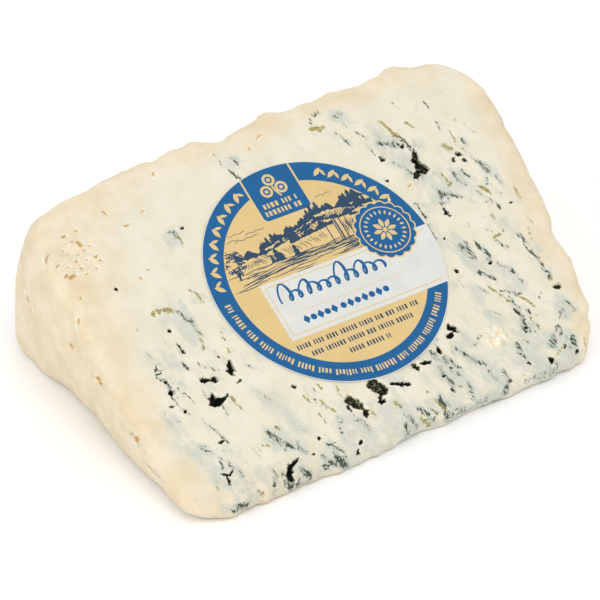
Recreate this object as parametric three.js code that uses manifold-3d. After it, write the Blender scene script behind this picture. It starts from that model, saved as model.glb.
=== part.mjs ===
// A wedge of blue cheese with a round paper label, lying on one of its two cut faces.
//
// The wedge is a sector of a short upright wheel of cheese.  The wheel's axis runs along X, so the
// wheel's two flat faces are the wedge's left and right ends, its outer rind is the back (+Y), and the
// line where the knife cuts met is the thin blunt nose at the front (-Y).  One cut face is the underside
// (Z = 0); the other slopes up from the nose to the rind at the sector's angle and carries the label.
//
// Millimetres, +Z up, origin at the centre of the footprint.
import * as THREE from "three";
import { mergeVertices } from "three/addons/utils/BufferGeometryUtils.js";
import Module from "manifold-3d";

// The wheel that the wedge was cut from.
const WHEEL_RADIUS = 88.5; // from the line where the cuts meet to the outer rind
const WHEEL_HEIGHT = 113; // between the wheel's flat faces, halfway out
const SECTOR_ANGLE = THREE.MathUtils.degToRad(28.5); // between the two knife cuts
const FACE_DISH = 0.15; // how far the right end falls in towards the wheel's axis, mm per mm

// Rounded edges.
const NOSE_RADIUS = 2.3; // the blunt thin edge at the front
const RIND_EDGE_RADIUS = 4.5; // between a cut face and the outer rind
const WHEEL_EDGE_RADIUS = 14; // between the outer rind and a flat end, as the wheel slumped
const CUT_EDGE_RADIUS = 2.6; // between a cut face and a flat end
const NOSE_CORNER_RADIUS = 8; // where the nose turns into a flat end
const NOSE_CORNER_REACH = 24; // how far up the face that corner pulls the surface with it

// The outer rind is uneven: low swells along the wheel's axis that drift as they run round the wheel,
// and finer ones across them.
const SWELL_HEIGHT = 0.6;
const SWELL_LENGTH = 19;
const SWELL_DRIFT = 3; // turns of the swell's phase for each turn round the wheel
const FINE_SWELL_SHARE = 0.5; // of the swell's height
const FINE_SWELL_LENGTH = 11;

// The label, stuck on the sloping cut face.
const LABEL_DIAMETER = 54;
const LABEL_THICKNESS = 0.25;
const LABEL_GAP = 0.3; // the film of adhesive and air between paper and cheese
const LABEL_RISE = 0.9; // how far above the middle of the face the label's centre is

// The open eyes of mould in the sloping cut face, out to the largest ones.  Place is a share of the half
// height of the wheel (left -1, right +1) and of the face from nose to rind (0 to 1); then length, width
// and depth in mm, and the turn of the length from the X axis in degrees.
const EYES = [
  [0.63, 0.68, 8.5, 3.4, 3.4, -62],
  [0.47, 0.74, 3.4, 2.0, 2.2, -55],
  [-0.54, 0.34, 4.2, 2.4, 3.0, 80],
  [-0.65, 0.33, 4.6, 1.7, 2.4, 8],
  [-0.67, 0.27, 4.6, 3.2, 3.2, -20],
  [-0.79, 0.07, 5.0, 2.2, 2.6, 60],
  [-0.55, 0.05, 5.2, 2.4, 2.8, 55],
  [-0.19, 0.13, 5.4, 3.6, 3.0, -50],
  [-0.09, 0.16, 5.6, 3.8, 3.4, -60],
  [0.33, 0.22, 4.0, 2.8, 3.0, 15],
  [0.23, 0.19, 3.2, 1.8, 2.0, 70],
  [0.62, 0.21, 4.6, 1.7, 2.2, -48],
  [0.64, 0.07, 3.6, 2.2, 2.4, -40],
  [0.78, 0.67, 3.6, 2.6, 2.2, -30],
  [0.6, 0.53, 3.4, 1.6, 2.0, -55],
  [0.83, 0.24, 3.6, 2.4, 2.2, 50],
];

// Facets round each stretch of the outline, and along the wheel's axis.
const CUT_STEPS = 10;
const FILLET_STEPS = 5;
const RIND_STEPS = 9;
const END_STEPS = 4;
const EDGE_STEPS = 6;
const BODY_STEPS = 24;
const LABEL_FACETS = 72;
const MERGE_TOLERANCE = 1e-4; // mm, under which two corners of a mesh are one

const wasm = await Module();
wasm.setup();

const lerp = THREE.MathUtils.lerp;
const halfAngle = SECTOR_ANGLE / 2;
const halfHeight = WHEEL_HEIGHT / 2;
const noseReach = NOSE_RADIUS / Math.sin(halfAngle) - NOSE_RADIUS; // from the cuts' meeting line
const faceLength = WHEEL_RADIUS - noseReach;

// Points of an arc in the YZ plane, both ends included.
function arc(centre, radius, from, to, steps) {
  return Array.from({ length: steps + 1 }, (_, i) => {
    const angle = lerp(from, to, i / steps);
    return new THREE.Vector2(centre.x + radius * Math.cos(angle), centre.y + radius * Math.sin(angle));
  });
}

// The wedge's outline in the YZ plane at one station along the axis, anticlockwise from the middle of the
// nose.  rim is the rind's radius there and inset how far the outline has drawn in all round.
function sectorOutline(rim, inset) {
  const nose = Math.max(NOSE_RADIUS - inset / 2, NOSE_RADIUS / 2);
  const corner = RIND_EDGE_RADIUS;
  const edge = rim - inset;
  const noseCentre = new THREE.Vector2(1, 0)
    .rotateAround(new THREE.Vector2(), halfAngle)
    .multiplyScalar((nose + inset) / Math.sin(halfAngle));
  const cornerCentre = new THREE.Vector2(
    Math.sqrt((edge - corner) ** 2 - (corner + inset) ** 2),
    corner + inset,
  );
  const cornerAngle = Math.atan2(cornerCentre.y, cornerCentre.x);
  // The lower half: half the nose, the underside, the corner, and the rind up to the sector's middle.
  const half = [
    ...arc(noseCentre, nose, Math.PI + halfAngle, 1.5 * Math.PI, FILLET_STEPS),
    ...Array.from(
      { length: CUT_STEPS - 1 },
      (_, i) =>
        new THREE.Vector2(lerp(noseCentre.x, cornerCentre.x, (i + 1) / CUT_STEPS), inset),
    ),
    ...arc(cornerCentre, corner, -Math.PI / 2, cornerAngle, FILLET_STEPS),
    ...arc(new THREE.Vector2(), edge, cornerAngle, halfAngle, RIND_STEPS).slice(1),
  ];
  // The upper half is the lower one mirrored about the sector's middle.
  const mirrored = half
    .slice(1, -1)
    .reverse()
    .map((p) => {
      const angle = SECTOR_ANGLE - p.angle();
      return new THREE.Vector2(Math.cos(angle), Math.sin(angle)).multiplyScalar(p.length());
    });
  return [...half, ...mirrored];
}

// How far a rounded edge has fallen in at a depth from the wheel's flat end: a quarter round.
function edgeFall(radius, depth) {
  const inside = Math.max(0, radius - depth);
  return radius - Math.sqrt(radius ** 2 - inside ** 2);
}

// Stations from the left end to the right: where along the axis, how far the outline is drawn in, and how
// far the rind and the nose have fallen in.
function stations() {
  const quarter = Array.from({ length: END_STEPS }, (_, i) => ((i / END_STEPS) * Math.PI) / 2);
  const rounded = quarter.map((turn) => ({
    depth: CUT_EDGE_RADIUS * (1 - Math.cos(turn)),
    inset: CUT_EDGE_RADIUS * (1 - Math.sin(turn)),
  }));
  const edge = Array.from({ length: EDGE_STEPS }, (_, i) => ({
    depth: lerp(CUT_EDGE_RADIUS, WHEEL_EDGE_RADIUS, i / EDGE_STEPS),
    inset: 0,
  }));
  const side = [...rounded, ...edge].map((s) => ({
    ...s,
    rindFall: edgeFall(WHEEL_EDGE_RADIUS, s.depth),
    noseFall: edgeFall(NOSE_CORNER_RADIUS, s.depth),
  }));
  const reach = halfHeight - WHEEL_EDGE_RADIUS;
  const middle = Array.from({ length: BODY_STEPS + 1 }, (_, i) => ({
    x: lerp(-reach, reach, i / BODY_STEPS),
    inset: 0,
    rindFall: 0,
    noseFall: 0,
  }));
  return [
    ...side.map((s) => ({ ...s, x: s.depth - halfHeight })),
    ...middle,
    ...side.map((s) => ({ ...s, x: halfHeight - s.depth })).reverse(),
  ];
}

// The rind's swell at a place along the axis and an angle round the wheel.
function swell(x, angle) {
  const wave = (length, phase) => Math.sin((2 * Math.PI * x) / length + phase);
  const fine = FINE_SWELL_SHARE * wave(FINE_SWELL_LENGTH, 1);
  return SWELL_HEIGHT * (wave(SWELL_LENGTH, SWELL_DRIFT * angle) + fine);
}

// Where a point of the outline goes: outwards with the swell if it is on the rind, and away from the cuts'
// meeting line where the nose turns into a flat end.  Both move it along its own ray from that line, so the
// cut faces stay flat.  The right end leans with the wheel's dished face.
function placed(point, { x, rindFall, noseFall }) {
  const out = point.length();
  const angle = point.angle();
  const rim = WHEEL_RADIUS - rindFall;
  const onRind = THREE.MathUtils.smoothstep(out, rim - RIND_EDGE_RADIUS, rim);
  const nearNose = Math.max(0, 1 - (out - noseReach) / NOSE_CORNER_REACH);
  const reach = out + onRind * swell(x, angle) + nearNose * noseFall;
  const lean = x > 0 ? 1 + (FACE_DISH * (reach - WHEEL_RADIUS / 2)) / halfHeight : 1;
  return new THREE.Vector3(x * lean, reach * Math.cos(angle), reach * Math.sin(angle));
}

// The whole wedge: the outlines joined station by station, and a fan over each flat end.
function wedgeGeometry() {
  const rings = stations().map((station) =>
    sectorOutline(WHEEL_RADIUS - station.rindFall, station.inset).map((p) => placed(p, station)),
  );
  const count = rings[0].length;
  const corners = [];
  for (let i = 0; i + 1 < rings.length; i++)
    for (let j = 0; j < count; j++) {
      const next = (j + 1) % count;
      const [a, b, c, d] = [rings[i][j], rings[i][next], rings[i + 1][next], rings[i + 1][j]];
      corners.push(a, b, c, a, c, d);
    }
  const middleOf = (ring) =>
    ring.reduce((sum, p) => sum.add(p), new THREE.Vector3()).divideScalar(count);
  const [left, right] = [rings[0], rings.at(-1)];
  const [leftMiddle, rightMiddle] = [middleOf(left), middleOf(right)];
  for (let j = 0; j < count; j++) {
    const next = (j + 1) % count;
    corners.push(leftMiddle, left[next], left[j]);
    corners.push(rightMiddle, right[j], right[next]);
  }
  return new THREE.BufferGeometry().setFromPoints(corners);
}

// A geometry as a manifold-3d solid, and back.
function solidOf(geometry) {
  const bare = geometry.clone().deleteAttribute("normal").deleteAttribute("uv");
  const merged = mergeVertices(bare, MERGE_TOLERANCE);
  return new wasm.Manifold(
    new wasm.Mesh({
      numProp: 3,
      vertProperties: merged.attributes.position.array,
      triVerts: new Uint32Array(merged.index.array),
    }),
  );
}
function geometryOf(solid) {
  const mesh = solid.getMesh();
  const geometry = new THREE.BufferGeometry();
  geometry.setAttribute("position", new THREE.BufferAttribute(mesh.vertProperties, mesh.numProp));
  geometry.setIndex(new THREE.BufferAttribute(mesh.triVerts, 1));
  return geometry.toNonIndexed();
}

// The sloping cut face's own frame: X along the wheel's axis, Y up the slope from the line where the cuts
// meet, Z straight out of the face.
const onFace = new THREE.Matrix4().makeRotationX(SECTOR_ANGLE);

// One eye: a rounded pit as long, wide and deep as stated, its mouth level with the face.
function eyeGeometry([across, along, length, width, depth, turn]) {
  const place = new THREE.Vector3(across * halfHeight, noseReach + along * faceLength, 0);
  return new THREE.IcosahedronGeometry(1, 1)
    .scale(length / 2, width / 2, depth)
    .rotateZ(THREE.MathUtils.degToRad(turn))
    .translate(place.x, place.y, place.z)
    .applyMatrix4(onFace);
}

function cheese() {
  const solid = EYES.reduce(
    (left, eye) => left.subtract(solidOf(eyeGeometry(eye))),
    solidOf(wedgeGeometry()),
  );
  const paste = new THREE.MeshStandardMaterial({ color: 0xe9e0c9, roughness: 0.5, metalness: 0 });
  const mesh = new THREE.Mesh(geometryOf(solid), paste);
  mesh.geometry.computeVertexNormals();
  mesh.name = "cheese_wedge";
  return mesh;
}

function label() {
  const paper = new THREE.MeshStandardMaterial({ color: 0x2a6ba6, roughness: 0.45, metalness: 0 });
  const radius = LABEL_DIAMETER / 2;
  const disc = new THREE.CylinderGeometry(radius, radius, LABEL_THICKNESS, LABEL_FACETS);
  const mesh = new THREE.Mesh(disc, paper);
  mesh.name = "paper_label";
  mesh.rotation.x = Math.PI / 2;
  mesh.position.set(0, noseReach + faceLength / 2 + LABEL_RISE, LABEL_GAP + LABEL_THICKNESS / 2);
  const slope = new THREE.Group();
  slope.rotation.x = SECTOR_ANGLE;
  slope.add(mesh);
  return slope;
}

const wedge = new THREE.Group();
wedge.add(cheese(), label());

// The origin goes to the centre of the footprint.
const footprint = new THREE.Box3().setFromObject(wedge, true);
const centre = footprint.getCenter(new THREE.Vector3());
wedge.position.set(-centre.x, -centre.y, -footprint.min.z);

export default wedge;
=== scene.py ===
import math

import bpy
import numpy as np
from mathutils import Matrix, Vector, geometry


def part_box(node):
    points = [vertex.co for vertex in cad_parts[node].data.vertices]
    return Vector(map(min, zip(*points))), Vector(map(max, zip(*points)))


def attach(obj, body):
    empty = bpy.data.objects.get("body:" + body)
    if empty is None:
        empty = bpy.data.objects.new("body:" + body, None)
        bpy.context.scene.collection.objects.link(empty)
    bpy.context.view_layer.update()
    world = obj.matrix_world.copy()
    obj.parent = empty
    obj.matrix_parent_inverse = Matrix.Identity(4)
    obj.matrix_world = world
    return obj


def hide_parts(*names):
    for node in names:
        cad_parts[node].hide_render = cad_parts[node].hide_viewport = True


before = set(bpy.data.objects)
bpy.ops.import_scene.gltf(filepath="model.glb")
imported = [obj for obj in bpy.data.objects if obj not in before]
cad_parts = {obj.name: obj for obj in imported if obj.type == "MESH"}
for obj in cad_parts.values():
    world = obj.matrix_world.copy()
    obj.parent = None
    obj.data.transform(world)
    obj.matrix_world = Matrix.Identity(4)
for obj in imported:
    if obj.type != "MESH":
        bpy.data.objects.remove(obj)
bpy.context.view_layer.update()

# ------------------------------------------------------------------------------------------ cheese shape
# The cheese: a sector of a short upright wheel of blue cheese, lying on one knife-cut face.  It formed as
# one piece, so it is one closed skin: two cut faces, the blunt nose where the cuts met, the outer rind and
# the wheel's two flat ends.  Lengths in this section are millimetres.
MM = 0.001
WHEEL_RADIUS = 88.5
HALF_HEIGHT = 56.5  # of the wheel, so half the length of the wedge
SECTOR = math.radians(28.5)  # the angle between the two cuts
FACE_DISH = 0.15  # how far the right end leans out for each millimetre of reach
NOSE_RADIUS = 2.3
RIND_EDGE_RADIUS = 4.5  # where the rind meets a cut face
WHEEL_EDGE_RADIUS = 14.0  # where the rind meets a flat end
CUT_EDGE_RADIUS = 2.6  # where a cut face meets a flat end
NOSE_CORNER_RADIUS = 8.0
NOSE_CORNER_REACH = 24.0  # the nose's two corners fade out this far up the faces
NOSE_REACH = NOSE_RADIUS / math.sin(SECTOR / 2) - NOSE_RADIUS
END_CROWN = 0.9  # how far a flat end bulges past its rounded edge
END_MIDDLE = 58.0  # from the line where the cuts meet to the middle of a flat end
LABEL_RADIUS = 27.0
LABEL_LIFT = 0.425  # the middle of the label's solid above the cut face
# How finely the skin is laid out: points round the nose, a rind edge, half the rind, the underside and the
# sloping face; then rows over a cut edge, the rest of a wheel edge, the body and a flat end.
NOSE_STEPS, EDGE_STEPS, RIND_STEPS, UNDERSIDE_STEPS, FACE_STEPS = 5, 9, 27, 56, 172
CUT_EDGE_ROWS, WHEEL_EDGE_ROWS, BODY_ROWS, END_ROWS = 6, 24, 181, 32

# The sloping cut face's own frame: its middle is the label's centre, "up" runs up the slope to the rind.
# Reach is the distance from the line where the two cuts meet, which is the wheel's axis.
label_low, label_high = (np.array(corner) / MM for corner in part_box("paper_label"))
across = np.array([1.0, 0.0, 0.0])
upslope = np.array([0.0, math.cos(SECTOR), math.sin(SECTOR)])
outward = np.array([0.0, -math.sin(SECTOR), math.cos(SECTOR)])
face_middle = (label_low + label_high) / 2 - LABEL_LIFT * outward
label_along = face_middle[2] / math.sin(SECTOR)
meeting_line = np.array([face_middle[0], face_middle[1] - label_along * math.cos(SECTOR), 0.0])


def smooth(low, high, value):
    """0 below low, 1 above high, and 3t^2 - 2t^3 between them, t being how far value has come."""
    t = np.clip((value - low) / (high - low), 0, 1)
    return t * t * (3 - 2 * t)


def grain(points, size, seed):
    """Soft random field from -1 to 1.  Each corner of a lattice of cells `size` wide holds a number hashed
    from its place and the seed; between corners the eight numbers are blended by 3t^2 - 2t^3 each way."""
    place = points / size + 0.37 * seed
    cell = np.floor(place).astype(np.int64)
    share = place - cell
    share = share * share * (3 - 2 * share)
    total = np.zeros(points.shape[:-1])
    for corner in np.ndindex(2, 2, 2):
        key = ((cell + corner) * (73856093, 19349663, 83492791)).sum(-1) + 6542989 * seed
        key = (key ^ (key >> 13)) * 1274126177
        key = (key ^ (key >> 16)) & 0xFFFF
        weight = np.prod(np.where(corner, share, 1 - share), axis=-1)
        total += weight * (key / 32767.5 - 1)
    return total


def grains(points, *layers):
    """A sum of soft random fields, each layer being its weight, cell size and seed."""
    return sum(weight * grain(points, size, seed) for weight, size, seed in layers)


def half_outline(rim, inset, face_steps):
    """Half of the wedge's section in polar form: reach, and angle up from the underside.
    With half = SECTOR / 2: the nose is an arc of radius r about the point (r + inset) / sin(half) out on
    the middle line, then come the straight cut face, the corner arc and the rind's arc to the middle."""
    half = SECTOR / 2
    nose = np.maximum(NOSE_RADIUS - inset / 2, NOSE_RADIUS / 2)
    nose_y = (nose + inset) / math.tan(half)
    corner_z = RIND_EDGE_RADIUS + inset
    corner_y = np.sqrt((rim - inset - RIND_EDGE_RADIUS) ** 2 - corner_z**2)
    corner_turn = np.arctan2(corner_z, corner_y)

    def arc(y, z, radius, start, end, steps):
        turn = start + (end - start) * np.arange(steps) / steps
        return y + radius * np.cos(turn), z + radius * np.sin(turn)

    run = np.arange(face_steps) / face_steps
    parts = [
        arc(nose_y, nose + inset, nose, math.pi + half, 1.5 * math.pi, NOSE_STEPS),
        (nose_y + (corner_y - nose_y) * run, inset + 0 * run),
        arc(corner_y, corner_z, RIND_EDGE_RADIUS, -math.pi / 2, corner_turn, EDGE_STEPS),
        arc(0, 0, rim - inset, corner_turn, half, RIND_STEPS),
        ((rim - inset) * math.cos(half), (rim - inset) * math.sin(half)),
    ]
    y, z = (np.hstack([part[k] for part in parts]) for k in (0, 1))
    return np.hypot(y, z), np.arctan2(z, y)


def edge_fall(radius, depth):
    """How far a quarter-round edge has fallen in at a depth from the end: r - sqrt(r^2 - (r - depth)^2)."""
    inside = np.maximum(0, radius - depth)
    return radius - np.sqrt(radius**2 - inside**2)


LUMP_DRIFT = 9.0  # how far a lump runs along the axis for each radian round the rind
# The rind's lumps as they show along its upper edge: place along the axis, width and height.
RIND_LUMPS = [
    (-45.0, 7.0, -3.8), (-34.0, 8.0, -1.2), (-21.0, 1.8, -0.6), (-10.6, 1.9, 0.7), (-4.8, 3.6, -1.9),
    (7.6, 2.2, 1.5), (23.5, 3.0, 0.8), (38.0, 3.2, 2.3), (58.5, 6.5, -4.6),
]


def swell(x, angle):
    """How far the rind stands out: each lump is height * exp(-((x - place - drift) / width)^2), drifting
    and fading to 0.3 of its height towards the underside, plus a soft random part."""
    drift = LUMP_DRIFT * (SECTOR - angle)
    lumps = sum(high * np.exp(-(((x - at - drift) / wide) ** 2)) for at, wide, high in RIND_LUMPS)
    place = np.stack(np.broadcast_arrays(x, WHEEL_RADIUS * angle, 0 * x), -1)
    high_up = 0.3 + 0.7 * smooth(0.3, 1, angle / SECTOR)
    return high_up * lumps + grains(place, (0.25, 11, 3), (0.2, 5, 4))


def dished(x, reach):
    """The right half leans with the wheel's dished face: x is multiplied by 1 + lean, which at the end
    itself comes to FACE_DISH * (reach - radius / 2) millimetres."""
    lean = FACE_DISH * (reach - WHEEL_RADIUS / 2) / HALF_HEIGHT
    return x * np.where(x > 0, 1 + lean, 1)


def cheese_skin():
    """Rows of points from the left pole to the right.  Each row is the section at one station along the
    axis; over each flat end the last section shrinks to the end's middle while x bulges by 1 - s^2."""
    turn = np.arange(CUT_EDGE_ROWS) / CUT_EDGE_ROWS * math.pi / 2
    edge = np.arange(WHEEL_EDGE_ROWS) / WHEEL_EDGE_ROWS
    rest_of_edge = CUT_EDGE_RADIUS + (WHEEL_EDGE_RADIUS - CUT_EDGE_RADIUS) * edge
    side = np.r_[CUT_EDGE_RADIUS * (1 - np.cos(turn)), rest_of_edge]
    side_inset = np.r_[CUT_EDGE_RADIUS * (1 - np.sin(turn)), 0 * edge]
    body = np.linspace(WHEEL_EDGE_RADIUS - HALF_HEIGHT, HALF_HEIGHT - WHEEL_EDGE_RADIUS, BODY_ROWS)
    x = np.r_[side - HALF_HEIGHT, body, (HALF_HEIGHT - side)[::-1]][:, None]
    depth = np.r_[side, 0 * body + WHEEL_EDGE_RADIUS, side[::-1]][:, None]
    inset = np.r_[side_inset, 0 * body, side_inset[::-1]][:, None]
    rim = WHEEL_RADIUS - edge_fall(WHEEL_EDGE_RADIUS, depth)
    lower_reach, lower_angle = half_outline(rim, inset, UNDERSIDE_STEPS)
    upper_reach, upper_angle = half_outline(rim, inset, FACE_STEPS)
    reach = np.hstack([lower_reach, upper_reach[:, -2:0:-1]])
    angle = np.hstack([lower_angle, SECTOR - upper_angle[:, -2:0:-1]])
    on_rind = smooth(rim - RIND_EDGE_RADIUS, rim, reach)
    near_nose = np.maximum(0, 1 - (reach - NOSE_REACH) / NOSE_CORNER_REACH)
    reach = reach + on_rind * swell(x, angle) + near_nose * edge_fall(NOSE_CORNER_RADIUS, depth)
    y, z = reach * np.cos(angle), reach * np.sin(angle)
    shrink = np.arange(1, END_ROWS)[:, None] / END_ROWS
    middle_y, middle_z = END_MIDDLE * math.cos(SECTOR / 2), END_MIDDLE * math.sin(SECTOR / 2)

    def cap(row, sign):
        cap_y = middle_y + shrink * (y[row] - middle_y)
        cap_z = middle_z + shrink * (z[row] - middle_z)
        bulge = HALF_HEIGHT + END_CROWN * (1 - shrink**2)
        return np.stack([dished(sign * bulge, np.hypot(cap_y, cap_z)), cap_y, cap_z], -1)

    body_rows = np.stack([dished(x + 0 * y, reach), y, z], -1)
    rows = np.concatenate([cap(0, -1), body_rows, cap(-1, 1)[::-1]])
    pole_x = dished(np.array([-1, 1]) * (HALF_HEIGHT + END_CROWN), END_MIDDLE)
    poles = np.stack([pole_x, np.full(2, middle_y), np.full(2, middle_z)], -1)
    return rows + meeting_line, poles + meeting_line


# Dents in the outline of the two ends: which end, 1 being the right one, then reach, width and depth.
END_DENTS = [
    (1, 36.6, 3.4, 1.6), (1, 9.0, 11.0, 2.6), (1, 24.0, 3.0, 0.4), (1, 76.0, 9.0, 1.0), (-1, 62.0, 6.0, 0.4),
]
DENT_FADE = (38, 56)  # a dent grows from nothing to its whole depth between these along the axis
LEFT_UNDERCUT = 2.4  # the left end leans in under its top edge by this
LEFT_HOLLOW = (58.0, 20.0, 1.7)  # and by this much more two thirds of the way to the rind
# The nose is worn back in steps, more to the right: where a step starts and ends, and its depth.
NOSE_WEAR = [(-70, -60, 0.8), (-12, 0, 1.1), (32, 54, 2.6)]
NOSE_WEAR_FADE = 16.0


def end_dent(x, reach, angle):
    """How far x moves in: the sum of depth * exp(-((reach - at) / width)^2), fading away from the end; the
    left end also leans in by its undercut and hollow at the underside, and by none at the top edge."""
    total = 0 * reach
    for end, at, wide, deep in END_DENTS:
        total = total - end * deep * np.exp(-(((reach - at) / wide) ** 2)) * smooth(*DENT_FADE, end * x)
    at, wide, deep = LEFT_HOLLOW
    lean = LEFT_UNDERCUT + deep * np.exp(-(((reach - at) / wide) ** 2))
    low = 1 - smooth(0, 0.62, angle / SECTOR)
    return total + lean * low * smooth(36, 56, -x) * (1 - smooth(76, 86, reach))


def nose_wear(x, reach):
    """How far the nose is set back: steps of 3t^2 - 2t^3 along the axis, fading out up both faces."""
    worn = sum(deep * smooth(start, end, x) for start, end, deep in NOSE_WEAR)
    return worn * (1 - smooth(NOSE_REACH, NOSE_REACH + NOSE_WEAR_FADE, reach))


def normals_of(rows):
    """Unit normals of a skin of rows: the cross product of its slopes round a row and from row to row."""
    round_row = np.roll(rows, -1, 1) - np.roll(rows, 1, 1)
    normal = np.cross(round_row, np.gradient(rows, axis=0))
    return normal / np.maximum(np.linalg.norm(normal, axis=-1, keepdims=True), 1e-9)


# Open eyes in the sloping cut face, where mould grew in gaps between the curds: place across and up the
# face from the label's centre, length, width, depth, and the turn of the length in degrees.  A negative
# depth is that of an eye with green moss on its walls.
EYES = [
    (34.0, 17.0, 4.6, 1.5, -3.0, 66), (33.8, 14.4, 3.0, 2.3, -3.2, -15), (31.9, 13.2, 2.2, 1.1, 2.4, 40),
    (32.8, 20.9, 1.5, 0.8, 1.6, 30), (26.6, 19.8, 1.5, 1.0, -2.0, -70), (43.9, 14.5, 1.6, 1.2, 1.8, -40),
    (42.2, 13.7, 1.3, 0.7, -1.5, 60), (44.4, 12.7, 1.2, 0.8, -1.4, -30), (33.2, 2.6, 2.5, 0.9, 2.0, -80),
    (35.9, -11.7, 1.2, 0.7, 1.6, 30), (27.5, -10.8, 1.1, 0.8, 1.6, -60), (46.6, -22.6, 2.0, 1.0, -1.8, -20),
    (34.8, -24.7, 2.7, 0.9, 2.4, -70), (34.3, -28.7, 0.9, 0.6, 1.0, 0), (18.7, -22.6, 2.7, 1.6, 2.4, -60),
    (17.4, -23.9, 1.8, 1.3, 2.0, 20), (13.1, -26.1, 1.7, 1.0, 1.8, 75), (6.2, -27.6, 2.5, 1.1, -2.0, -70),
    (8.6, -27.6, 2.8, 0.9, 1.6, -10), (35.5, -39.6, 2.0, 1.2, 2.0, -60), (40.3, -38.2, 1.5, 0.6, -1.0, 35),
    (30.3, -38.0, 1.1, 0.7, 1.2, -50), (43.0, -41.2, 1.5, 1.0, -1.0, 20),
    (-4.3, -28.8, 5.2, 3.0, -3.2, -65), (0.8, -30.2, 4.6, 1.1, 2.0, -25), (-4.9, -32.0, 2.2, 1.4, 2.4, -60),
    (-10.9, -30.2, 4.4, 2.4, -2.8, -60), (-9.9, -33.4, 1.9, 1.2, 2.0, 50),
    (10.8, -36.9, 1.5, 0.6, 1.0, -75), (10.8, -32.5, 0.9, 0.7, 1.0, 0), (-31.3, -12.7, 3.0, 1.8, 3.0, 74),
    (-38.0, -13.1, 2.3, 1.1, 2.4, -22), (-35.9, -13.8, 1.5, 1.4, 2.4, 10), (-37.8, -18.5, 3.8, 1.7, 3.2, 2),
    (-38.5, -17.5, 1.9, 1.5, 2.6, 60), (-35.4, -18.0, 1.5, 0.45, 0.9, 25),
    (-39.0, -4.9, 2.8, 0.7, 2.0, -80), (-46.1, -13.0, 1.4, 1.1, 2.0, 30), (-46.3, -8.2, 1.2, 0.5, 0.8, 0),
    (-45.9, -10.3, 1.0, 0.6, 1.0, 20), (-47.5, -15.9, 1.5, 0.5, -1.0, -15),
    (-45.4, -17.8, 1.1, 0.6, 1.2, 20), (-39.1, -0.2, 1.0, 0.8, 1.2, -40),
    (-45.0, -34.2, 2.1, 0.5, 1.6, -35), (-43.8, -34.4, 1.6, 0.5, 1.6, 40),
    (-44.9, -35.8, 2.0, 0.6, 1.6, -85), (-29.8, -37.4, 3.0, 0.8, 2.2, 22),
    (-31.8, -38.7, 2.6, 1.5, 3.0, 60), (-32.4, -40.4, 2.6, 0.8, 2.4, -70),
    (-22.4, -34.6, 1.2, 0.7, 1.2, 60), (-21.0, -21.6, 1.2, 0.8, 1.2, -20),
    (-14.3, -39.0, 1.3, 0.8, 1.2, 20), (-41.9, -26.9, 1.5, 0.6, 1.0, 10), (24.8, 14.5, 1.1, 0.6, 1.0, 10),
    (-24.1, 20.6, 0.9, 0.7, 1.0, 0), (-44.9, 12.7, 0.9, 0.6, -0.9, -60), (48.4, -0.5, 1.3, 0.4, 0.7, 5),
    (-31.2, -16.0, 1.8, 0.45, -0.8, 20), (-25.2, -37.4, 0.7, 0.5, 0.8, 0), (29.2, -2.8, 0.7, 0.5, -0.8, 0),
    (29.8, -34.8, 0.7, 0.5, 0.6, 0), (-15.8, -41.0, 1.4, 0.6, 1.2, 60), (-12.6, -30.6, 1.6, 0.6, 1.0, -80),
]
# Small dry pits near the rind, ochre inside, in the same terms; then those of the left flat end, by place
# along Y and Z from the label's centre.
PITS = [
    (-49.0, 27.9, 1.3, 0.9, 0.8, 0), (-46.6, 25.2, 2.0, 1.1, 1.0, -75), (-45.8, 28.2, 0.8, 0.6, 0.5, 0),
    (-48.0, 26.2, 0.9, 0.6, 0.5, 0), (-46.6, 23.5, 1.0, 0.6, 0.5, 20), (-44.9, 21.2, 1.6, 0.7, 0.7, 25),
    (-44.6, 20.1, 0.9, 0.7, 0.6, 0), (-49.4, 21.8, 1.1, 0.7, 0.5, 10), (-53.1, 19.5, 1.1, 0.9, 0.7, 60),
    (-52.0, 18.8, 2.3, 0.9, 0.9, 10), (-49.1, 19.8, 0.9, 0.8, 0.5, 0), (-53.4, 22.2, 1.0, 0.6, 0.5, 0),
    (-38.0, 30.0, 1.5, 0.6, 0.6, -60), (-35.0, 25.5, 1.8, 0.6, 0.7, 15), (-30.2, 27.3, 1.8, 0.4, 0.3, 20),
    (-23.4, 34.4, 2.0, 0.5, 0.4, 60), (-0.2, 32.6, 0.9, 0.6, 0.4, 40), (3.4, 34.6, 2.6, 0.4, 0.3, 25),
    (-53.1, 13.7, 0.9, 0.7, 0.6, 60), (-38.5, 13.2, 0.8, 0.7, 0.5, 0), (-36.1, 14.3, 1.0, 0.5, 0.4, 0),
    (36.8, 31.4, 0.7, 0.6, 0.6, 0), (37.2, 29.7, 0.6, 0.5, 0.6, 0), (48.6, 22.6, 0.7, 0.5, 0.5, 0),
    (29.0, 11.6, 1.7, 0.5, 0.4, 25), (-55.0, 24.5, 2.2, 0.6, 0.5, 40), (-51.0, 25.0, 0.8, 0.5, 0.5, 20),
    (-50.2, 23.6, 0.7, 0.5, 0.5, 70), (-48.2, 23.0, 0.8, 0.5, 0.5, -40), (-47.0, 21.4, 0.7, 0.5, 0.4, 0),
    (-50.6, 20.4, 0.7, 0.5, 0.5, 30), (-46.2, 18.6, 0.8, 0.4, 0.4, 60), (-51.8, 21.0, 0.8, 0.5, 0.5, -30),
    (-45.0, 24.0, 0.7, 0.5, 0.4, 10), (-48.9, 18.2, 0.9, 0.5, 0.4, 20),
]
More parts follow.
